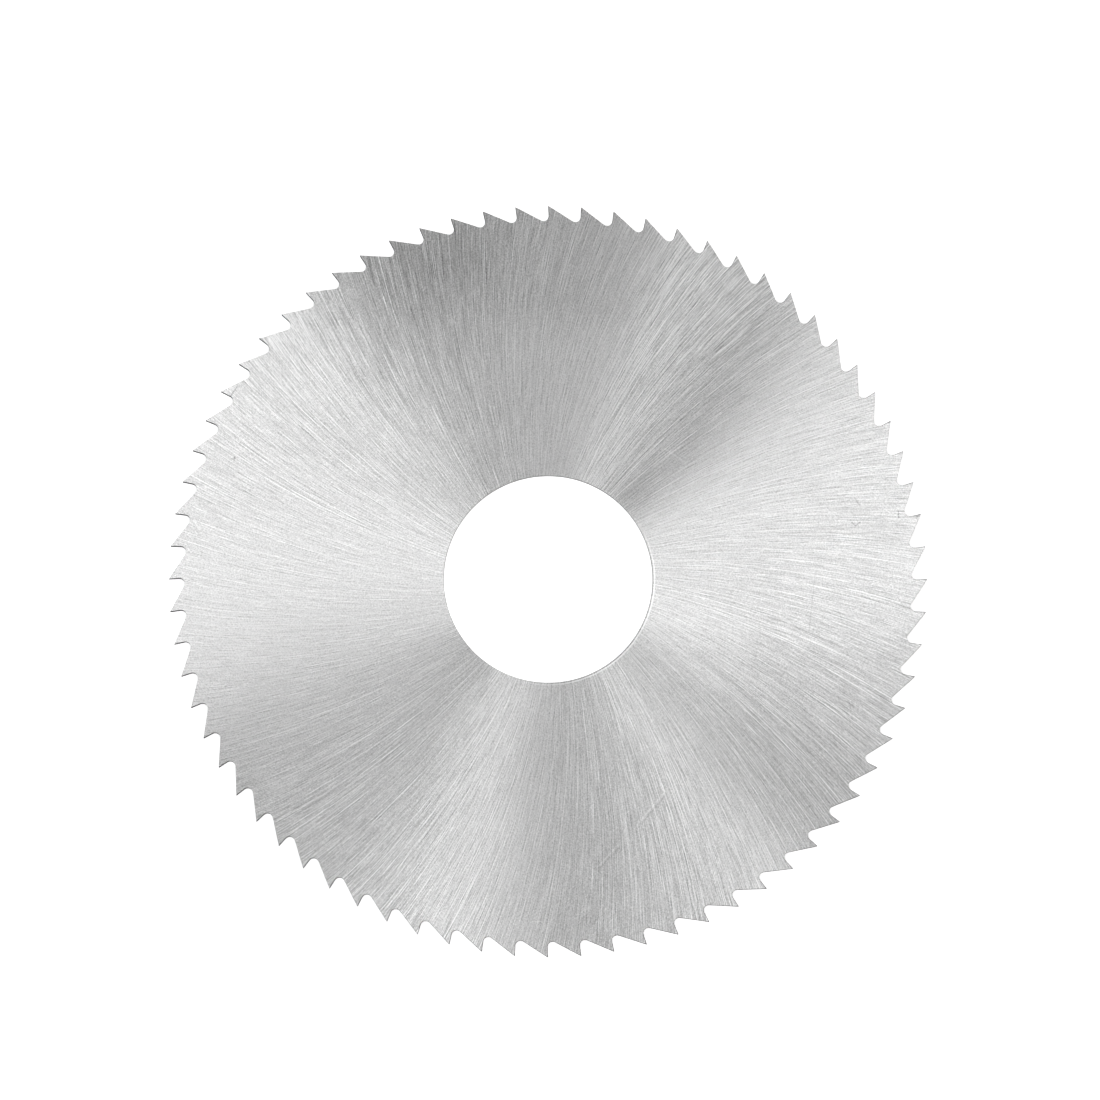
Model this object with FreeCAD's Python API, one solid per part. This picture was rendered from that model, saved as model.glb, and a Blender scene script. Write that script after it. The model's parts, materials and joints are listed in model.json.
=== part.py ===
"""A metal slitting saw: one hardened and ground steel disc with a plain bore and fine saw teeth.

Millimetres. The bore axis is +Z and the saw lies flat, with its lower side touching z = 0 at the
tooth tips. One tooth tip is on +X. Seen from +Z, the teeth cut counter-clockwise.
"""

import FreeCAD
import Part

import math
import os

# The blank.
OUTSIDE_DIAMETER = 80.0
BORE_DIAMETER = 22.0
RIM_THICKNESS = 0.50

# Both sides are ground hollow, so that only the tooth tips touch the walls of the slot.
HOLLOW_DEPTH = 0.02
COLLAR_SEAT_DIAMETER = 34.0
BORE_CHAMFER = 0.05

# The teeth. The rake is measured from the radius at the tip, and the back from the rim there.
TOOTH_COUNT = 72
RAKE_ANGLE = math.radians(3.0)
BACK_ANGLE = math.radians(33.0)
GULLET_RADIUS = 0.55

# The turned blank is this much larger in radius than the saw before its teeth are cut.
CUTTING_ALLOWANCE = 0.5

TIP_RADIUS = OUTSIDE_DIAMETER / 2
BORE_RADIUS = BORE_DIAMETER / 2
SEAT_RADIUS = COLLAR_SEAT_DIAMETER / 2
QUARTER_TURN = math.pi / 2
FULL_TURN_DEGREES = 360
PITCH_ANGLE = 2 * math.pi / TOOTH_COUNT


def polar(radius, angle):
    """The point of the disc's plane at a radius and an angle about the bore axis."""
    return FreeCAD.Vector(radius * math.cos(angle), radius * math.sin(angle), 0)


def crossing(start_a, along_a, start_b, along_b):
    """The point where two lines in the plane of the disc cross."""
    gap = start_b - start_a
    share = (gap.x * along_b.y - gap.y * along_b.x) / (along_a.x * along_b.y - along_a.y * along_b.x)
    return start_a + along_a * share


def tooth_space(index):
    """The edges from one tooth tip to the next: rake face, round gullet and straight tooth back."""
    tip_angle = index * PITCH_ANGLE
    next_angle = (index + 1) % TOOTH_COUNT * PITCH_ANGLE
    tip = polar(TIP_RADIUS, tip_angle)
    next_tip = polar(TIP_RADIUS, next_angle)

    # The rake face runs inwards from its tip and leans back into its own tooth.
    face_angle = tip_angle + RAKE_ANGLE
    down_face = polar(-1, face_angle)
    off_face = polar(1, face_angle + QUARTER_TURN)

    # The back falls away from the next tip, against the way the saw turns.
    back_angle = next_angle - BACK_ANGLE
    down_back = polar(1, back_angle - QUARTER_TURN)
    off_back = polar(1, back_angle)

    # The gullet's arc touches both, so its centre lies one radius off each of them.
    centre = crossing(
        tip + off_face * GULLET_RADIUS,
        down_face,
        next_tip + off_back * GULLET_RADIUS,
        down_back,
    )
    face_foot = centre - off_face * GULLET_RADIUS
    back_foot = centre - off_back * GULLET_RADIUS
    floor = centre - (off_face + off_back).normalize() * GULLET_RADIUS
    return [
        Part.LineSegment(tip, face_foot).toShape(),
        Part.Arc(face_foot, floor, back_foot).toShape(),
        Part.LineSegment(back_foot, next_tip).toShape(),
    ]


def ground_blank():
    """The round blank: a hollow ground section with chamfered bore edges, turned about the axis."""
    middle = RIM_THICKNESS / 2
    seat_half = middle - HOLLOW_DEPTH
    slope = HOLLOW_DEPTH / (TIP_RADIUS - SEAT_RADIUS)
    upper = [
        (BORE_RADIUS, seat_half - BORE_CHAMFER),
        (BORE_RADIUS + BORE_CHAMFER, seat_half),
        (SEAT_RADIUS, seat_half),
        (TIP_RADIUS + CUTTING_ALLOWANCE, middle + slope * CUTTING_ALLOWANCE),
    ]
    lower = [(radius, -half) for radius, half in reversed(upper)]
    outline = [FreeCAD.Vector(radius, 0, middle + half) for radius, half in upper + lower]
    section = Part.Face(Part.makePolygon(outline + outline[:1]))
    return section.revolve(FreeCAD.Vector(0, 0, 0), FreeCAD.Vector(0, 0, 1), FULL_TURN_DEGREES)


def toothed_prism():
    """A prism with the outline of the finished saw, one thickness taller than it above and below."""
    edges = [edge for index in range(TOOTH_COUNT) for edge in tooth_space(index)]
    outline = Part.Face(Part.Wire(edges))
    overshoot = RIM_THICKNESS
    outline.translate(FreeCAD.Vector(0, 0, -overshoot))
    return outline.extrude(FreeCAD.Vector(0, 0, RIM_THICKNESS + 2 * overshoot))


def saw_blade():
    """The finished saw: what the turned blank and the toothed prism have in common."""
    return ground_blank().common(toothed_prism()).Solids[0]


def main():
    """Write the saw to parts/saw_blade.step."""
    os.makedirs("parts", exist_ok=True)
    blade = saw_blade()
    blade.exportStep("parts/saw_blade.step")
    box = blade.BoundBox
    print("valid", blade.isValid(), "faces", len(blade.Faces), "volume", round(blade.Volume, 2))
    print("box", [round(length, 4) for length in (box.XLength, box.YLength, box.ZLength, box.ZMin)])


main()
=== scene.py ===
"""The looks of a metal slitting saw: one thin ground steel disc with a plain bore and fine saw teeth.

Metres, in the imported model's frame: the bore axis is +Z, the saw lies on z = 0, one tooth tip is on +X
and the teeth cut counter-clockwise as seen from above. The saw is modelled again here, in the same form
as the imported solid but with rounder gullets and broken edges, and is given its ground finish.
"""

import json
import logging
import math
from collections.abc import Callable
from dataclasses import dataclass, field
from enum import Enum

import bmesh
import bpy
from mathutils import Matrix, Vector


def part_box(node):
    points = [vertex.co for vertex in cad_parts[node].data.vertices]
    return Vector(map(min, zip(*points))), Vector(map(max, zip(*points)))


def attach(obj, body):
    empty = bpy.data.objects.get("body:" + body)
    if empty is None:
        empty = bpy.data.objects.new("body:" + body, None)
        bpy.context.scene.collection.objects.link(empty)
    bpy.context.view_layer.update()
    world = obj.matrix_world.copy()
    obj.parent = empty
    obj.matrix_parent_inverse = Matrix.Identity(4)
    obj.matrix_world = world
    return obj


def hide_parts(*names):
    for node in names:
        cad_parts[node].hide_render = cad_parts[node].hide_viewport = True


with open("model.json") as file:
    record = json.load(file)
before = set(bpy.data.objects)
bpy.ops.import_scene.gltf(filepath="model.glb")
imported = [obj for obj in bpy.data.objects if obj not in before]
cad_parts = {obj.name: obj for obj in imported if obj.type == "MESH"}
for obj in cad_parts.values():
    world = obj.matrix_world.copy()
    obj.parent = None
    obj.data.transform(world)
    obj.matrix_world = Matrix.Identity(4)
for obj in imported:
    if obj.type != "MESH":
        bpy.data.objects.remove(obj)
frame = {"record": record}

MM = 0.001
MERGE = 0.0005 * MM
QUARTER_TURN = math.pi / 2
FULL_TURN = 2 * math.pi
AXIS = Vector((0.0, 0.0, 1.0))
WHITE = (1.0, 1.0, 1.0, 1.0)

# The depth of the finest grinding and cutting marks.
MARK_DEPTH = 0.002 * MM

LOG = logging.getLogger("slitting_saw")

Socket = bpy.types.NodeSocket


def polar(radius: float, angle: float, height: float = 0.0) -> Vector:
    """The point at a radius, an angle about the bore axis and a height."""
    return Vector((radius * math.cos(angle), radius * math.sin(angle), height))


def crossing(start_a: Vector, along_a: Vector, start_b: Vector, along_b: Vector) -> Vector:
    """The point where two level lines cross.

    Args:
        start_a: A point of the first line.
        along_a: The first line's direction.
        start_b: A point of the second line.
        along_b: The second line's direction.

    Returns:
        The common point.
    """
    gap = start_b - start_a
    share = gap.xy.cross(along_b.xy) / along_a.xy.cross(along_b.xy)
    return start_a + along_a * share


def forwardness(edge: bmesh.types.BMEdge) -> float:
    """How far an edge's faces look the way that the saw turns.

    Args:
        edge: An edge of a mesh about the bore axis.

    Returns:
        That part of the normal of its most forward face, from -1 to 1.
    """
    middle = (edge.verts[0].co + edge.verts[1].co) / 2
    forward = AXIS.cross(middle).normalized()
    return max(face.normal.dot(forward) for face in edge.link_faces)


class MeshEdit:
    """A piece's mesh in edit mode, where points, edges and faces are selected by a test on each."""

    def __init__(self, piece: bpy.types.Object) -> None:
        """Enter edit mode on the piece alone, with nothing selected.

        Args:
            piece: The object to edit.
        """
        bpy.ops.object.select_all(action="DESELECT")
        piece.select_set(True)
        bpy.context.view_layer.objects.active = piece
        bpy.ops.object.mode_set(mode="EDIT")
        bpy.ops.mesh.select_all(action="DESELECT")
        self.piece = piece

    def select(self, kind: str, test: Callable[..., bool]) -> None:
        """Select what passes a test, and nothing else.

        Args:
            kind: "VERT", "EDGE" or "FACE".
            test: Says of one point, edge or face whether it is selected.
        """
        bpy.ops.mesh.select_mode(type=kind)
        bpy.ops.mesh.select_all(action="DESELECT")
        mesh = bmesh.from_edit_mesh(self.piece.data)
        mesh.normal_update()
        parts = {"VERT": mesh.verts, "EDGE": mesh.edges, "FACE": mesh.faces}[kind]
        for part in parts:
            part.select_set(bool(test(part)))
        mesh.select_flush_mode()
        bmesh.update_edit_mesh(self.piece.data)

    def select_place(self, place: Vector) -> None:
        """Select the points at a place."""
        self.select("VERT", lambda point: (point.co - place).length < MERGE)

    def add_point(self, place: Vector) -> None:
        """Add one point, and leave it selected.

        Args:
            place: Where the point goes.
        """
        bpy.ops.mesh.select_mode(type="VERT")
        bpy.ops.mesh.select_all(action="DESELECT")
        bpy.ops.mesh.primitive_plane_add(size=MM, location=place)
        bpy.ops.mesh.merge(type="CENTER")

    def spin(self, steps: int, angle: float, centre: Vector, copies: bool = False) -> None:
        """Turn the selection about an upright axis, leaving edges, faces or copies along its way.

        Args:
            steps: Into how many steps the turn is divided.
            angle: The whole turn, counter-clockwise from above.
            centre: A point of the axis.
            copies: Whether each step leaves a copy, and not a swept edge or face.
        """
        bpy.ops.mesh.spin(steps=steps, dupli=copies, angle=-angle, center=centre, axis=AXIS)

    def extrude(self, step: Vector) -> None:
        """Extrude the selection by a step."""
        bpy.ops.mesh.extrude_region_move(TRANSFORM_OT_translate={"value": step})

    def leave(self) -> None:
        """Return to object mode."""
        bpy.ops.object.mode_set(mode="OBJECT")


class FinishNodes:
    """The node tree of one finish, built by short calls that each give back a socket."""

    # A turn about this axis takes a noise out of line with the object's own axes.
    TURN_AXIS = (1.0, 2.0, 3.0)
    TURN_ANGLE = 1.0

    def __init__(self, name: str) -> None:
        """Start a material that holds one Principled shader.

        Args:
            name: The material's name.
        """
        self.material = bpy.data.materials.new(name)
        self.material.use_nodes = True
        self.tree = self.material.node_tree
        self.tree.nodes.clear()
        self.shader = self.tree.nodes.new("ShaderNodeBsdfPrincipled")
        output = self.tree.nodes.new("ShaderNodeOutputMaterial")
        self.tree.links.new(self.shader.outputs["BSDF"], output.inputs["Surface"])

    def feed(self, socket: Socket, value: "Socket | float | tuple | Vector") -> None:
        """Link a socket to an input, or set the input to a plain value.

        Args:
            socket: The input.
            value: The socket or the plain value.
        """
        if isinstance(value, bpy.types.NodeSocket):
            self.tree.links.new(value, socket)
        else:
            socket.default_value = value

    def set_shader(self, values: "dict[str, Socket | float | tuple]") -> None:
        """Feed the shader's inputs, by name."""
        for name, value in values.items():
            self.feed(self.shader.inputs[name], value)

    def math(self, operation: str, *values: "Socket | float") -> Socket:
        """One Math node.

        Args:
            operation: The node's operation.
            values: What goes into its inputs, in their order.

        Returns:
            The result.
        """
        node = self.tree.nodes.new("ShaderNodeMath")
        node.operation = operation
        for socket, value in zip(node.inputs, values):
            self.feed(socket, value)
        return node.outputs["Value"]

    def total(self, *values: "Socket | float") -> Socket:
        """The sum of several values.

        Args:
            values: The values.

        Returns:
            Their sum.
        """
        result = values[0]
        for value in values[1:]:
            result = self.math("ADD", result, value)
        return result

    def swing(self, value: Socket, size: float) -> Socket:
        """A value from 0 to 1 turned into one that swings by up to half a size either way of nothing."""
        return self.math("MULTIPLY_ADD", value, size, -size / 2)

    def vector(self, operation: str, *values: "Socket | tuple") -> bpy.types.Node:
        """One Vector Math node.

        Args:
            operation: The node's operation.
            values: What goes into its inputs, in their order.

        Returns:
            The node, whose result is a vector or a plain value.
        """
        node = self.tree.nodes.new("ShaderNodeVectorMath")
        node.operation = operation
        for socket, value in zip(node.inputs, values):
            self.feed(socket, value)
        return node

    def along(self, place: Socket, direction: tuple[float, float, float]) -> Socket:
        """How far a place lies in a direction."""
        return self.vector("DOT_PRODUCT", place, direction).outputs["Value"]

    def scaled(self, value: Socket, factor: float) -> Socket:
        """A vector times a number.

        Args:
            value: The vector.
            factor: The number.

        Returns:
            The scaled vector.
        """
        node = self.vector("SCALE", value)
        node.inputs["Scale"].default_value = factor
        return node.outputs["Vector"]

    def turned(self, value: Socket) -> Socket:
        """A vector turned out of line with the axes, so that no row of a noise lies along them.

        Args:
            value: The vector.

        Returns:
            The turned vector.
        """
        node = self.tree.nodes.new("ShaderNodeVectorRotate")
        self.feed(node.inputs["Vector"], value)
        node.inputs["Axis"].default_value = self.TURN_AXIS
        node.inputs["Angle"].default_value = self.TURN_ANGLE
        return node.outputs["Vector"]

    def combine(self, x: "Socket | float", y: "Socket | float", z: "Socket | float") -> Socket:
        """A vector from its three parts.

        Args:
            x: The first part.
            y: The second part.
            z: The third part.

        Returns:
            The vector.
        """
        node = self.tree.nodes.new("ShaderNodeCombineXYZ")
        for socket, value in zip(node.inputs, (x, y, z)):
            self.feed(socket, value)
        return node.outputs["Vector"]

    def grey(self, value: Socket) -> Socket:
        """A neutral colour."""
        return self.combine(value, value, value)

    def separate(self, value: Socket) -> tuple[Socket, Socket, Socket]:
        """The three parts of a vector.

        Args:
            value: The vector.

        Returns:
            Its parts.
        """
        node = self.tree.nodes.new("ShaderNodeSeparateXYZ")
        self.feed(node.inputs["Vector"], value)
        return tuple(node.outputs)

    def place(self) -> Socket:
        """The surface point in millimetres, in the object's frame."""
        coordinates = self.tree.nodes.new("ShaderNodeTexCoord")
        return self.scaled(coordinates.outputs["Object"], 1 / MM)

    def noise(self, place: Socket, detail: float = 0.0, dimensions: str = "3D") -> Socket:
        """Noise from 0 to 1 with a mean of a half.

        Args:
            place: Where to read it, in units of about one feature.
            detail: How many times finer features are added.
            dimensions: "1D" where the place is a plain value, or else "2D" or "3D".

        Returns:
            The noise.
        """
        node = self.tree.nodes.new("ShaderNodeTexNoise")
        node.noise_dimensions = dimensions
        self.feed(node.inputs["W" if dimensions == "1D" else "Vector"], place)
        self.feed(node.inputs["Scale"], 1.0)
        self.feed(node.inputs["Detail"], detail)
        return node.outputs["Fac"]

    def line_noise(self, place: Socket) -> Socket:
        """Noise along one value, with about one line to each unit."""
        return self.noise(place, dimensions="1D")

    def cloud_noise(self, place: Socket, size: float) -> Socket:
        """Noise in soft clouds of about one size."""
        return self.noise(self.turned(self.scaled(place, 1 / size)))

    def bump(self, height: Socket, distance: float) -> Socket:
        """A normal bent by a height field.

        Args:
            height: The height, where 1 is the full distance.
            distance: The height of 1, in metres.

        Returns:
            The normal.
        """
        node = self.tree.nodes.new("ShaderNodeBump")
        self.feed(node.inputs["Height"], height)
        self.feed(node.inputs["Distance"], distance)
        return node.outputs["Normal"]


@dataclass(frozen=True)
class Ramp:
    """A level that runs in a straight line from one at a first value to one at a last value.

    Outside the two values it stays at the nearer one's level.
    """

    first: float
    last: float
    first_level: float
    last_level: float

    def at(self, nodes: FinishNodes, value: Socket) -> Socket:
        """The level at a value.

        Args:
            nodes: The tree to build in.
            value: The value.

        Returns:
            The level.
        """
        node = nodes.tree.nodes.new("ShaderNodeMapRange")
        numbers = (self.first, self.last, self.first_level, self.last_level)
        for socket, number in zip(node.inputs, (value, *numbers)):
            nodes.feed(socket, number)
        return node.outputs["Result"]


class Sweep:
    """Where a point of the ground sides lies among the grinding lines, in millimetres and radians."""

    # The ends of the lines are ragged. They shift this often in one radian, over this many lengths.
    JUMPS = 160.0
    JUMP_LENGTHS = 4.0

    def __init__(self, nodes: FinishNodes, offset: float, arc_radius: float) -> None:
        """Work out the point's radius and angle, the line that it lies on and that line's direction.

        Args:
            nodes: The tree to build in.
            offset: How far the lines pass beside the bore axis.
            arc_radius: The radius of the arcs that the lines follow.
        """
        x, y, _ = nodes.separate(nodes.place())
        self.nodes = nodes
        self.flat = nodes.combine(x, y, 0.0)
        self.radius = nodes.vector("LENGTH", self.flat).outputs["Value"]
        angle = nodes.math("ARCTAN2", y, x)
        beside = nodes.math("ADD", angle, nodes.math("DIVIDE", -offset, self.radius))
        bend = nodes.math("DIVIDE", self.radius, 2 * arc_radius)
        self.line = nodes.math("ADD", beside, bend)
        self.direction = nodes.math("SUBTRACT", beside, bend)
        self.log_radius = nodes.math("LOGARITHM", self.radius, math.e)
        jumps = nodes.line_noise(nodes.math("MULTIPLY", self.line, self.JUMPS))
        self.ragged = nodes.swing(jumps, self.JUMP_LENGTHS)


@dataclass(frozen=True)
class Sector:
    """A change that is full in one direction from the bore axis and fades out to both sides of it.

    The direction and the spread to either side are in degrees.
    """

    angle: float
    spread: float
    change: float

    def level(self, sweep: Sweep) -> Socket:
        """The change at a point.

        Args:
            sweep: Where the point lies among the grinding lines.

        Returns:
            The change.
        """
        nodes = sweep.nodes
        middle = tuple(polar(1.0, math.radians(self.angle)))
        nearness = nodes.math("DIVIDE", nodes.along(sweep.flat, middle), sweep.radius)
        return Ramp(math.cos(math.radians(self.spread)), 1.0, 0.0, self.change).at(nodes, nearness)


@dataclass(frozen=True)
class Patch(Sector):
    """A sector whose change also grows along the radius, from nothing at one radius to full at another.

    The two radii are in millimetres, and either may be the larger.
    """

    fade_start: float
    fade_end: float

    def level(self, sweep: Sweep) -> Socket:
        """The change at a point.

        Args:
            sweep: Where the point lies among the grinding lines.

        Returns:
            The change.
        """
        change = super().level(sweep)
        share = Ramp(self.fade_start, self.fade_end, 0.0, 1.0).at(sweep.nodes, sweep.radius)
        return sweep.nodes.math("MULTIPLY", change, share)


@dataclass(frozen=True)
class Scratch:
    """One straight stray scratch across the grinding lines, in millimetres.

    Along its length it is full up to the first share of that length from its middle, and then fades to
    nothing at the second share, its end.
    """

    start: tuple[float, float]
    end: tuple[float, float]
    width: float
    change: float
    full_share: float = 0.35
    end_share: float = 0.5

    def level(self, sweep: Sweep) -> Socket:
        """How much the scratch changes the colour at a point.

        Args:
            sweep: Where a point lies among the grinding lines.

        Returns:
            The full change on the scratch's middle line, falling to nothing beside it and at its ends.
        """
        nodes = sweep.nodes
        start, end = Vector(self.start), Vector(self.end)
        along = (end - start) / (end - start).length_squared
        beside = along.orthogonal().normalized()
        place = nodes.along(sweep.flat, (*along, 0.0))
        place = nodes.math("ABSOLUTE", nodes.math("SUBTRACT", place, along.dot(start + end) / 2))
        off = nodes.along(sweep.flat, (*beside, 0.0))
        off = nodes.math("ABSOLUTE", nodes.math("SUBTRACT", off, beside.dot(start)))
        core = Ramp(0.0, self.width, self.change, 0.0).at(nodes, off)
        return nodes.math("MULTIPLY", core, Ramp(self.full_share, self.end_share, 1.0, 0.0).at(nodes, place))


@dataclass(frozen=True)
class Streaks:
    """One family of grinding lines, about equally wide at every radius, with ragged ends.

    Width and length are in millimetres, and the contrast is the step in colour from its darkest to its
    lightest line. A skew of 1 lays the lines at 45 degrees to the arcs. The number of lines round the
    disc grows by the widening each time the radius does, and the stride makes the next length of a line
    unlike the one before it.
    """

    width: float
    length: float
    seed: float
    contrast: float
    skew: float = 0.0
    widening: float = 1.3
    stride: float = 173.3

    def noise(self, sweep: Sweep) -> Socket:
        """Lay the family over the sides.

        Args:
            sweep: Where a point lies among the grinding lines.

        Returns:
            Noise from 0 to 1 with a mean of a half.
        """
        nodes = sweep.nodes
        ragged = nodes.math("ADD", sweep.ragged, self.seed)
        wider = nodes.math("MULTIPLY_ADD", sweep.log_radius, 1 / math.log(self.widening), ragged)
        wider = nodes.math("SUBTRACT", nodes.math("FLOOR", wider), self.seed)
        count = nodes.math("DIVIDE", nodes.math("POWER", self.widening, wider), self.width)
        piece = nodes.math("FLOOR", nodes.math("MULTIPLY_ADD", sweep.radius, 1 / self.length, ragged))
        start = nodes.math("MULTIPLY", piece, self.stride)
        line = nodes.math("MULTIPLY_ADD", sweep.log_radius, self.skew, sweep.line)
        return nodes.line_noise(nodes.math("MULTIPLY_ADD", line, count, start))


@dataclass(frozen=True)
class GroundSide:
    """The bright ground sides: fine arcs that sweep out from the bore and catch light across themselves."""

    name: str = "ground_side"
    colour: float = 0.69
    anisotropy: float = 1.0

    # The arcs of the grinding lines, in millimetres.
    offset: float = 0.62
    arc_radius: float = 89.5

    # The families of lines.
    short: Streaks = Streaks(width=0.115, length=1.0, seed=0.31, contrast=0.32)
    fine: Streaks = Streaks(width=0.115, length=2.8, seed=0.57, contrast=0.34, skew=0.02)
    crossed: Streaks = Streaks(width=0.115, length=2.2, seed=0.83, contrast=0.32, skew=-0.03)
    deep: Streaks = Streaks(width=0.11, length=11.0, seed=0.19, contrast=0.16, skew=0.01)
    hatch: Streaks = Streaks(width=0.22, length=1.4, seed=0.43, contrast=1.0, skew=1.1)

    # The grain between the lines, and how much the crossed lines vary the roughness.
    grain_size: float = 0.14
    grain_contrast: float = 0.43
    roughness: float = 0.42
    roughness_swing: float = 0.10

    # How far the lines turn off the arcs, in radians. The extremes of the deep lines turn most, one way
    # where they are high, though not in the glints, and the other way where they are low.
    fine_turn: float = 0.25
    crossed_turn: float = 0.20
    high_turn: Ramp = Ramp(0.68, 0.90, 0.0, 0.34)
    low_turn: Ramp = Ramp(0.32, 0.10, 0.0, 0.30)
    outside_painted_glints: Ramp = Ramp(0.0, 1.0, 1.0, 0.0)

    # The tops of the deep lines are lighter in tone, and in the painted highlight sectors more of them are
    # lighter: painted highlights of lines that catch a lamp.
    tone_and_painted_shine: Ramp = Ramp(0.72, 0.90, 0.0, 0.32)
    painted_glint_shine: float = 0.12

    # The contrast of all lines together: by radius, towards the back, and in some sectors. The painted
    # highlight sectors raise it, which paints the highlights and shade of lines that catch a lamp into the
    # colour, and the faint sector lowers it.
    rise: Ramp = Ramp(12.0, 38.0, 0.95, 1.02)
    back_contrast: float = 0.09
    painted_glint_contrast: float = 0.40
    # The painted highlight sectors, by direction from the bore axis.
    painted_glints: tuple[Sector, ...] = (
        Sector(angle=60.0, spread=17.0, change=1.0),
        Sector(angle=253.0, spread=14.0, change=0.5),
        Sector(angle=301.0, spread=13.0, change=0.45),
    )
    faint: Sector = Sector(angle=180.0, spread=20.0, change=-0.35)

    # The hatching comes in clouds of this size in millimetres, and only near the rim.
    hatch_size: float = 6.25
    hatch_clouds: Ramp = Ramp(0.48, 0.64, 0.0, 0.22)
    hatch_rim: Ramp = Ramp(28.0, 36.0, 0.0, 1.0)

    # Broad areas of painted light and shade on the sides, lighter or darker than the rest where light falls
    # more or less on them.
    painted_light_patches: tuple[Patch, ...] = (
        Patch(angle=90.0, spread=24.0, change=0.10, fade_start=30.0, fade_end=25.0),
        Patch(angle=112.0, spread=20.0, change=-0.14, fade_start=28.0, fade_end=35.0),
        Patch(angle=54.0, spread=13.0, change=-0.04, fade_start=11.0, fade_end=12.0),
        Patch(angle=126.0, spread=18.0, change=-0.09, fade_start=21.0, fade_end=14.0),
        Patch(angle=131.0, spread=13.0, change=0.10, fade_start=27.0, fade_end=37.0),
        Patch(angle=268.0, spread=17.0, change=0.09, fade_start=20.0, fade_end=13.0),
        Patch(angle=270.0, spread=15.0, change=-0.09, fade_start=24.0, fade_end=37.0),
        Patch(angle=320.0, spread=12.0, change=-0.09, fade_start=20.0, fade_end=36.0),
        Patch(angle=336.0, spread=16.0, change=0.07, fade_start=26.0, fade_end=16.0),
    )

    # A thin painted dark reflection and a thin painted highlight lie beside the bore on one side, just
    # outside its chamfer.
    painted_bore_reflections: tuple[Patch, ...] = (
        Patch(angle=322.0, spread=70.0, change=-0.75, fade_start=11.18, fade_end=11.13),
        Patch(angle=322.0, spread=70.0, change=0.45, fade_start=11.33, fade_end=11.28),
    )
    scratches: tuple[Scratch, ...] = (
        Scratch((4.9, -30.8), (7.6, -27.9), width=0.12, change=0.14),
        Scratch((5.1, -31.0), (7.8, -28.1), width=0.12, change=-0.12),
        Scratch((9.0, -26.5), (12.8, -21.9), width=0.12, change=0.14),
        Scratch((9.2, -26.7), (13.0, -22.1), width=0.12, change=-0.12),
        Scratch((12.2, 14.0), (14.5, 12.4), width=0.14, change=0.16),
        Scratch((-2.0, -36.3), (-0.6, -36.2), width=0.10, change=0.16),
        Scratch((32.0, 6.1), (32.5, 5.6), width=0.12, change=-0.30),
        Scratch((32.4, 5.6), (33.0, 6.1), width=0.12, change=-0.30),
        Scratch((32.3, 8.8), (33.0, 7.7), width=0.12, change=-0.22),
        Scratch((28.2, 1.0), (27.4, -6.5), width=0.10, change=-0.11),
        Scratch((-33.7, 19.4), (-32.8, 20.7), width=0.10, change=-0.30),
        Scratch((-33.2, 12.7), (-33.1, 13.1), width=0.16, change=-0.40),
        Scratch((37.0, 6.4), (37.0, 7.3), width=0.12, change=-0.28),
        Scratch((38.8, 6.5), (39.5, 7.1), width=0.20, change=-0.35),
    )

    def strength(self, sweep: Sweep, painted_glint: Socket) -> Socket:
        """How strongly all the lines show at a point.

        Args:
            sweep: Where the point lies among the grinding lines.
            painted_glint: How far it lies in one of the glints.

        Returns:
            The factor on their contrast.
        """
        nodes = sweep.nodes
        back = nodes.along(sweep.flat, (0.0, self.back_contrast, 0.0))
        contrast_with_painted_glints = nodes.total(
            nodes.math("DIVIDE", back, sweep.radius),
            nodes.math("MULTIPLY", painted_glint, self.painted_glint_contrast),
            self.faint.level(sweep),
            1.0,
        )
        return nodes.math("MULTIPLY", self.rise.at(nodes, sweep.radius), contrast_with_painted_glints)

    def hatching(self, sweep: Sweep) -> Socket:
        """How much the hatching changes the colour at a point.

        Args:
            sweep: Where the point lies among the grinding lines.

        Returns:
            The change.
        """
        nodes = sweep.nodes
        clouds = self.hatch_clouds.at(nodes, nodes.cloud_noise(sweep.flat, self.hatch_size))
        share = nodes.math("MULTIPLY", clouds, self.hatch_rim.at(nodes, sweep.radius))
        return nodes.math("MULTIPLY", nodes.swing(self.hatch.noise(sweep), self.hatch.contrast), share)

    def across(self, sweep: Sweep, turn: Socket) -> Socket:
        """The direction across the grinding line at a point, along which light is drawn out.

        Args:
            sweep: Where the point lies among the grinding lines.
            turn: How far its line turns off the arc.

        Returns:
            The tangent for the shader.
        """
        nodes = sweep.nodes
        angle = nodes.total(sweep.direction, turn, QUARTER_TURN)
        return nodes.combine(nodes.math("COSINE", angle), nodes.math("SINE", angle), 0.0)

    def material(self) -> bpy.types.Material:
        """Build the finish.

        Returns:
            The material.
        """
        nodes = FinishNodes(self.name)
        sweep = Sweep(nodes, self.offset, self.arc_radius)
        painted_glint = nodes.total(*(sector.level(sweep) for sector in self.painted_glints))
        grain = nodes.cloud_noise(sweep.flat, self.grain_size)
        short = self.short.noise(sweep)
        fine = self.fine.noise(sweep)
        crossed = self.crossed.noise(sweep)
        deep = self.deep.noise(sweep)

        high_turn = self.high_turn.at(nodes, deep)
        high_turn = nodes.math("MULTIPLY", self.outside_painted_glints.at(nodes, painted_glint), high_turn)
        turn = nodes.total(
            nodes.swing(fine, self.fine_turn),
            nodes.swing(crossed, self.crossed_turn),
            nodes.math("SUBTRACT", high_turn, self.low_turn.at(nodes, deep)),
        )
        lines = nodes.total(
            nodes.swing(short, self.short.contrast),
            nodes.swing(fine, self.fine.contrast),
            nodes.swing(crossed, self.crossed.contrast),
            nodes.swing(deep, self.deep.contrast),
            self.tone_and_painted_shine.at(nodes, nodes.math("MULTIPLY_ADD", painted_glint, self.painted_glint_shine, deep)),
        )
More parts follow.
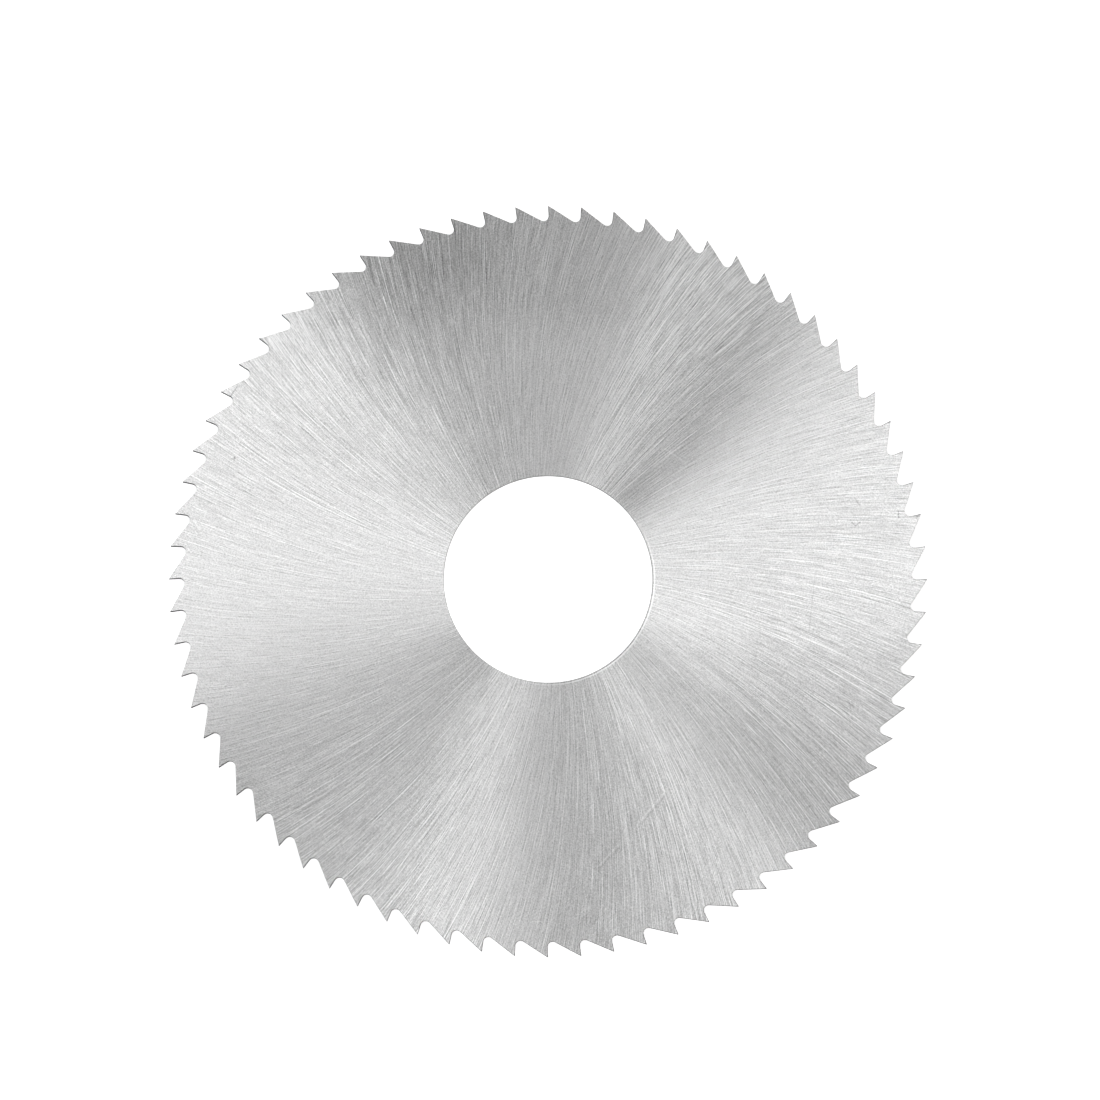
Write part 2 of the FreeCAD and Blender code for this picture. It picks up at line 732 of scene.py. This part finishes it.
        # Painted light and shade, in broad areas and beside the bore, is added to the colour with the real
        # scratches.
        marks = self.painted_light_patches + self.painted_bore_reflections + self.scratches
        colour = nodes.total(
            self.colour,
            nodes.swing(grain, self.grain_contrast),
            nodes.math("MULTIPLY", lines, self.strength(sweep, painted_glint)),
            self.hatching(sweep),
            nodes.total(*(mark.level(sweep) for mark in marks)),
        )
        nodes.set_shader({
            "Base Color": nodes.grey(colour),
            "Metallic": 1.0,
            "Roughness": nodes.math("ADD", nodes.swing(crossed, self.roughness_swing), self.roughness),
            "Anisotropic": self.anisotropy,
            "Tangent": self.across(sweep, turn),
            "Normal": nodes.bump(fine, MARK_DEPTH),
        })
        return nodes.material


@dataclass(frozen=True)
class CutWall:
    """The walls of teeth, gullets and bore, with fine marks of the wheel or cutter that made them.

    The marks are given by how many there are to a millimetre along each axis.
    """

    name: str
    marks: tuple[float, float, float]
    colour: float
    glancing: float
    roughness: float = 0.35
    mark_detail: float = 2.0
    mark_contrast: float = 0.04
    roughness_swing: float = 0.3

    def material(self) -> bpy.types.Material:
        """Build the finish.

        Returns:
            The material.
        """
        nodes = FinishNodes(self.name)
        place = nodes.vector("MULTIPLY", nodes.place(), self.marks).outputs["Vector"]
        grain = nodes.noise(place, self.mark_detail)
        nodes.set_shader({
            "Base Color": nodes.grey(nodes.total(nodes.swing(grain, self.mark_contrast), self.colour)),
            "Metallic": 1.0,
            "Specular Tint": (self.glancing, self.glancing, self.glancing, 1.0),
            "Roughness": nodes.total(nodes.swing(grain, self.roughness_swing), self.roughness),
            "Normal": nodes.bump(grain, MARK_DEPTH),
        })
        return nodes.material


class Finish(Enum):
    """The saw's kinds of surface, in the order of its material slots."""

    SIDE = GroundSide()
    # The tooth walls, with the breaks of their edges, are painted near black, also at glancing angles:
    # painted shade for the dark surroundings that they reflect.
    TOOTH = CutWall("tooth_wall_painted_dark", marks=(14.0, 14.0, 1.5), colour=0.04, glancing=0.04)
    BORE = CutWall("bore_wall", marks=(2.0, 2.0, 30.0), colour=0.40, glancing=0.40)


@dataclass
class SawBlade:
    """The whole saw, modelled about its middle plane and then raised until it lies on z = 0.

    The tip radius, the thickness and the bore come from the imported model. The other sizes are the same
    as in the part's source, apart from the fine steps and broken edges that only this model has.
    """

    tip_radius: float
    thickness: float
    bore_radius: float
    tooth_count: int = 72
    rake_angle: float = math.radians(3.0)
    back_angle: float = math.radians(33.0)
    gullet_radius: float = 0.55 * MM
    seat_radius: float = 17.0 * MM
    hollow_depth: float = 0.02 * MM
    bore_chamfer: float = 0.05 * MM

    # Edges are broken by the first width, and by the second where they look fully forward. The width grows
    # by one step at each limit of forwardness. The wide breaks by the rake faces take the tooth walls'
    # painted dark, and so draw a painted dark line along each rake edge.
    edge_break: float = 0.012 * MM
    rake_break: float = 0.05 * MM
    break_limits: tuple[float, ...] = (0.4, 0.7, 0.92)

    # The teeth stand on this circle, and a tooth's strip starts a few of its steps before the tip.
    root_radius: float = 37.5 * MM
    root_lead: int = 3
    gullet_steps: int = 11
    back_steps: int = 8

    # The part of a face's normal along the axis: a level face has more than the first, and a wall's
    # finish is given up to the second.
    level_limit: float = 0.5
    wall_limit: float = 0.9
    crease: float = math.radians(30.0)
    name: str = "slitting_saw"
    piece: bpy.types.Object = field(init=False)

    @property
    def pitch(self) -> float:
        """The angle from one tooth tip to the next."""
        return FULL_TURN / self.tooth_count

    @property
    def steps(self) -> int:
        """The edges of one tooth space: one for the rake face, then the gullet's and the back's."""
        return 1 + self.gullet_steps + self.back_steps

    @property
    def rim_height(self) -> float:
        """The height of the tooth tips over the middle plane."""
        return self.thickness / 2

    def section(self) -> list[tuple[float, float]]:
        """Work out the half section of the disc inside its teeth.

        Returns:
            Radius and height over the middle plane, from the root circle to the middle of the bore wall.
        """
        seat_height = self.rim_height - self.hollow_depth
        slope = self.hollow_depth / (self.tip_radius - self.seat_radius)
        return [
            (self.root_radius, seat_height + slope * (self.root_radius - self.seat_radius)),
            (self.seat_radius, seat_height),
            (self.bore_radius + self.bore_chamfer, seat_height),
            (self.bore_radius, seat_height - self.bore_chamfer),
            (self.bore_radius, 0.0),
        ]

    def is_outline(self, edge: bmesh.types.BMEdge) -> bool:
        """Whether an edge is an open one of the toothed outline."""
        return edge.is_boundary and edge.verts[0].co.xy.length > self.root_radius + MERGE

    def is_corner(self, edge: bmesh.types.BMEdge) -> bool:
        """Whether an edge lies between a level face and a wall."""
        return {abs(face.normal.z) > self.level_limit for face in edge.link_faces} == {True, False}

    def finish_of(self, face: bmesh.types.BMFace) -> Finish:
        """Tell the finish of a face by its tilt and its distance from the bore.

        Args:
            face: The face.

        Returns:
            Its finish.
        """
        if abs(face.normal.z) > self.wall_limit:
            return Finish.SIDE
        bore_reach = (self.bore_radius + self.seat_radius) / 2
        in_bore = face.calc_center_median().xy.length < bore_reach
        return Finish.BORE if in_bore else Finish.TOOTH

    def tooth_space(self, mesh: MeshEdit) -> None:
        """Draw the edges from the tooth tip on +X to the next one: rake face, gullet and tooth back.

        Args:
            mesh: The mesh to draw in.
        """
        tip = polar(self.tip_radius, 0.0, self.rim_height)
        next_tip = polar(self.tip_radius, self.pitch, self.rim_height)
        back = self.pitch - self.back_angle
        off_face = polar(self.gullet_radius, self.rake_angle + QUARTER_TURN)
        off_back = polar(self.gullet_radius, back)
        centre = crossing(
            tip + off_face,
            polar(1.0, self.rake_angle),
            next_tip + off_back,
            polar(1.0, back + QUARTER_TURN),
        )
        face_foot = centre - off_face
        back_foot = centre - off_back

        mesh.add_point(face_foot)
        mesh.spin(self.gullet_steps, back - self.rake_angle - QUARTER_TURN, centre)
        mesh.select_place(face_foot)
        mesh.extrude(tip - face_foot)
        mesh.select_place(back_foot)
        for _ in range(self.back_steps):
            mesh.extrude((next_tip - back_foot) / self.back_steps)

    def one_tooth(self, mesh: MeshEdit) -> None:
        """Face the strip between one tooth space and one pitch of the root circle.

        Args:
            mesh: The mesh, which holds the whole root circle.
        """
        step = self.pitch / self.steps
        start = -(self.root_lead + 0.5) * step
        end = start + self.pitch + step
        mesh.select("VERT", lambda point: not start < math.atan2(point.co.y, point.co.x) < end)
        bpy.ops.mesh.delete(type="VERT")
        self.tooth_space(mesh)
        bpy.ops.mesh.select_all(action="SELECT")
        bpy.ops.mesh.bridge_edge_loops()

    def break_edges(self, mesh: MeshEdit) -> None:
        """Break the sharp edges between side and walls, more and more so towards the rake faces.

        Args:
            mesh: The mesh, which holds all teeth down to the middle plane.
        """
        share = self.edge_break / self.rake_break
        mesh.select("EDGE", self.is_corner)
        bpy.ops.transform.edge_bevelweight(value=share)
        for limit in self.break_limits:
            mesh.select("EDGE", lambda edge: self.is_corner(edge) and forwardness(edge) > limit)
            bpy.ops.transform.edge_bevelweight(value=(1.0 - share) / len(self.break_limits))
        mesh.leave()
        bpy.ops.object.modifier_add(type="BEVEL")
        bevel = self.piece.modifiers[-1]
        bevel.limit_method = "WEIGHT"
        bevel.width = self.rake_break
        bevel.segments = 1
        bevel.use_clamp_overlap = False
        bevel.loop_slide = False
        bpy.ops.object.modifier_apply(modifier=bevel.name)
        bpy.ops.object.mode_set(mode="EDIT")

    def upper_half(self, mesh: MeshEdit) -> None:
        """Model the upper half: the teeth, the hollow ground side, and all walls down to the middle.

        Args:
            mesh: The mesh, which holds the whole root circle.
        """
        self.one_tooth(mesh)
        copies = self.tooth_count - 1
        bpy.ops.mesh.select_all(action="SELECT")
        mesh.spin(copies, copies * self.pitch, Vector(), copies=True)
        bpy.ops.mesh.select_all(action="SELECT")
        bpy.ops.mesh.remove_doubles(threshold=MERGE)

        mesh.select("EDGE", self.is_outline)
        mesh.extrude(-self.rim_height * AXIS)
        self.break_edges(mesh)

        # The root circle itself is set to its height first, and each next ring is extruded from it.
        mesh.select("VERT", lambda point: point.co.xy.length < self.root_radius + MERGE)
        radius, height = self.root_radius, self.rim_height
        for index, (next_radius, next_height) in enumerate(self.section()):
            if index > 0:
                bpy.ops.mesh.extrude_region_move()
            share = next_radius / radius
            bpy.ops.transform.resize(value=(share, share, 1.0), center_override=(0.0, 0.0, 0.0))
            bpy.ops.transform.translate(value=(0.0, 0.0, next_height - height))
            radius, height = next_radius, next_height

    def build(self) -> bpy.types.Object:
        """Model the saw.

        Returns:
            The finished piece, which has no finish yet.
        """
        bpy.ops.object.select_all(action="DESELECT")
        bpy.ops.mesh.primitive_circle_add(
            vertices=self.tooth_count * self.steps,
            radius=self.root_radius,
        )
        self.piece = bpy.context.object
        self.piece.name = self.name
        self.piece.data.name = self.name
        mesh = MeshEdit(self.piece)
        bpy.ops.mesh.select_all(action="SELECT")
        bpy.ops.transform.translate(value=self.rim_height * AXIS)
        self.upper_half(mesh)
        mesh.leave()

        bpy.ops.object.modifier_add(type="MIRROR")
        mirror = self.piece.modifiers[-1]
        mirror.use_axis = (False, False, True)
        mirror.merge_threshold = MERGE
        bpy.ops.object.modifier_apply(modifier=mirror.name)

        mesh = MeshEdit(self.piece)
        bpy.ops.mesh.select_all(action="SELECT")
        bpy.ops.mesh.normals_make_consistent(inside=False)
        bpy.ops.transform.translate(value=self.rim_height * AXIS)
        mesh.leave()
        bpy.ops.object.shade_smooth_by_angle(angle=self.crease)
        return self.piece

    def dress(self) -> None:
        """Give each kind of surface its finish, and hand the piece to the frame."""
        for finish in Finish:
            self.piece.data.materials.append(finish.value.material())
        mesh = MeshEdit(self.piece)
        for slot, finish in enumerate(Finish):
            mesh.select("FACE", lambda face: self.finish_of(face) is finish)
            self.piece.active_material_index = slot
            bpy.ops.object.material_slot_assign()
        mesh.leave()
        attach(self.piece, "root")
        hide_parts("saw_blade")


@dataclass(frozen=True)
class SoftLamp:
    """A soft box round the saw, aimed at its middle.

    The angles are in degrees. The spread is the angle that the box fills as seen from the saw, and the
    height share is its height for each metre of distance.
    """

    name: str
    azimuth: float
    elevation: float
    distance: float
    spread: float
    brightness: float
    height_share: float = 0.35

    def build(self) -> None:
        """Add the lamp."""
        azimuth, elevation = math.radians(self.azimuth), math.radians(self.elevation)
        width = 2 * self.distance * math.tan(math.radians(self.spread) / 2)
        height = self.height_share * self.distance
        place = polar(self.distance * math.cos(elevation), azimuth, self.distance * math.sin(elevation))
        bpy.ops.object.light_add(type="AREA", location=place)
        lamp = bpy.context.object
        lamp.name = self.name
        lamp.rotation_euler = (-place).to_track_quat("-Z", "Y").to_euler()
        lamp.visible_camera = False
        lamp.data.shape = "RECTANGLE"
        lamp.data.size = width
        lamp.data.size_y = height
        lamp.data.energy = self.brightness * math.pi * width * height


@dataclass(frozen=True)
class Studio:
    """The white floor and surroundings, the lamps and the camera."""

    floor_radius: float = 3.0
    floor_sides: int = 64
    floor_colour: float = 0.8
    floor_glow: float = 0.6

    # The ambient level and the lamps were not set by hand. They are the rounded result of a
    # least-squares fit to the brightness round the disc, and suit the camera's view only.
    ambient: float = 0.37
    lamps: tuple[SoftLamp, ...] = (
        SoftLamp("front_right_box", 320.0, 65.0, 0.35, 40.0, 0.97),
        SoftLamp("left_strip", 205.0, 35.0, 0.35, 8.0, 3.60),
        SoftLamp("back_strip", 55.0, 35.0, 0.35, 8.0, 1.63),
        SoftLamp("front_box", 295.0, 65.0, 0.35, 20.0, 1.96),
        SoftLamp("right_box", 335.0, 35.0, 0.80, 20.0, 5.02),
        SoftLamp("front_left_box", 225.0, 65.0, 0.80, 40.0, 3.18),
        SoftLamp("left_box", 170.0, 50.0, 0.80, 40.0, 2.02),
        SoftLamp("back_box", 85.0, 35.0, 0.35, 40.0, 5.55),
    )

    # The camera's place and lens come from a fit to the tooth tips and the edge of the bore.
    camera_aim: tuple[float, float, float] = (0.198 * MM, 3.085 * MM, 0.5 * MM)
    camera_tilt: float = math.radians(7.84)
    camera_distance: float = 0.8214
    camera_lens: float = 254.7

    def build_floor(self) -> None:
        """Add a plain pale floor, which looks white and keeps the saw's shadow."""
        bpy.ops.mesh.primitive_circle_add(
            vertices=self.floor_sides,
            radius=self.floor_radius,
            fill_type="NGON",
        )
        floor = bpy.context.object
        floor.name = "floor"
        material = bpy.data.materials.new("floor_white")
        material.use_nodes = True
        tree = material.node_tree
        tree.nodes.clear()
        paint = tree.nodes.new("ShaderNodeBsdfDiffuse")
        paint.inputs["Color"].default_value = (self.floor_colour, self.floor_colour, self.floor_colour, 1.0)
        glow = tree.nodes.new("ShaderNodeEmission")
        rays = tree.nodes.new("ShaderNodeLightPath")
        strength = rays.outputs["Is Camera Ray"]
        for ray in ("Is Glossy Ray", "Is Transmission Ray"):
            either = tree.nodes.new("ShaderNodeMath")
            either.operation = "MAXIMUM"
            tree.links.new(strength, either.inputs[0])
            tree.links.new(rays.outputs[ray], either.inputs[1])
            strength = either.outputs["Value"]
        scale = tree.nodes.new("ShaderNodeMath")
        scale.operation = "MULTIPLY"
        scale.inputs[1].default_value = self.floor_glow
        tree.links.new(strength, scale.inputs[0])
        tree.links.new(scale.outputs["Value"], glow.inputs["Strength"])
        both = tree.nodes.new("ShaderNodeAddShader")
        output = tree.nodes.new("ShaderNodeOutputMaterial")
        tree.links.new(paint.outputs[0], both.inputs[0])
        tree.links.new(glow.outputs[0], both.inputs[1])
        tree.links.new(both.outputs[0], output.inputs["Surface"])
        floor.data.materials.append(material)

    def build_world(self) -> None:
        """Set a plain world that lights the saw evenly from all sides."""
        world = bpy.data.worlds.new("plain_room")
        bpy.context.scene.world = world
        world.use_nodes = True
        background = world.node_tree.nodes["Background"]
        background.inputs["Color"].default_value = WHITE
        background.inputs["Strength"].default_value = self.ambient

    def build_camera(self) -> None:
        """Set the camera, which looks down at the saw from slightly in front."""
        back = Vector((0.0, -math.sin(self.camera_tilt), math.cos(self.camera_tilt)))
        place = Vector(self.camera_aim) + back * self.camera_distance
        bpy.ops.object.camera_add(location=place, rotation=(self.camera_tilt, 0.0, 0.0))
        camera = bpy.context.object
        camera.data.lens = self.camera_lens
        bpy.context.scene.camera = camera

    def build(self) -> None:
        """Build the whole studio."""
        self.build_camera()
        self.build_floor()
        self.build_world()
        for lamp in self.lamps:
            lamp.build()
        bpy.context.scene.view_settings.view_transform = "Standard"


def main() -> None:
    """Build the saw and the studio."""
    logging.basicConfig(level=logging.INFO, format="%(message)s")
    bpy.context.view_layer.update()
    low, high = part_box("saw_blade")
    bore = next(mount for mount in frame["record"]["mounts"] if mount["kind"] == "bore")
    blade = SawBlade(
        tip_radius=(high.x - low.x) / 2,
        thickness=high.z - low.z,
        bore_radius=bore["dims"]["r_mm"] * MM,
    )
    piece = blade.build()
    blade.dress()
    LOG.info("%s: %d faces", piece.name, len(piece.data.polygons))
    Studio().build()


if __name__ == "__main__":
    main()
